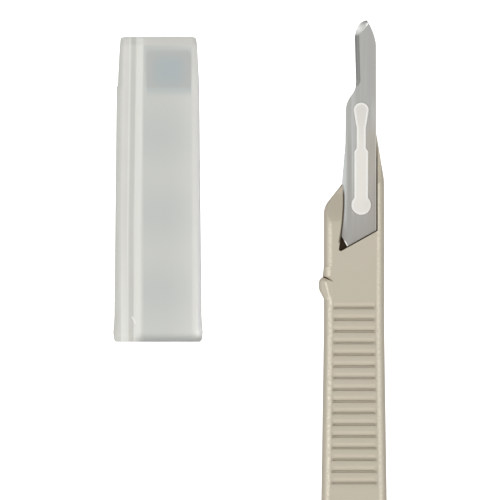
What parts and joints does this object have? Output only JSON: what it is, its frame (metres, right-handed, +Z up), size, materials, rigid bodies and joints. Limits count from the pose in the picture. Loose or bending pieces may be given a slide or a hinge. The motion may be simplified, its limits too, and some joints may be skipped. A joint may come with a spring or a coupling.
{
  "type": "disposable scalpel",
  "caption": "Small surgical knife: slim plastic handle with grip grooves, fixed steel blade with a curved belly held by a key through its slot, and its hollow blade cover lying beside it.",
  "frame": {"origin": "on the handle's underside, the plane the scalpel rests on, midway between the blade's tip and the handle's butt and on the handle's centre line", "axes": "+Y along the handle towards the blade's tip, +Z up out of the face that shows the blade's key, +X towards the blade's back; the cutting edge and the handle's stop lug face -X"},
  "size_m": [0.0449, 0.155, 0.0069],
  "materials": {
    "handle_plastic": "satin moulded, warm beige grey",
    "blade_steel": "fine lengthwise satin, ground and honed bevels",
    "key_plastic": "moulded, off-white",
    "cap_plastic": "moulded, milky and translucent"
  },
  "bodies": {
    "root": {"handle": "handle_plastic", "blade": "blade_steel", "blade_key": "key_plastic", "blade_cap": "cap_plastic"}
  },
  "joints": []
}
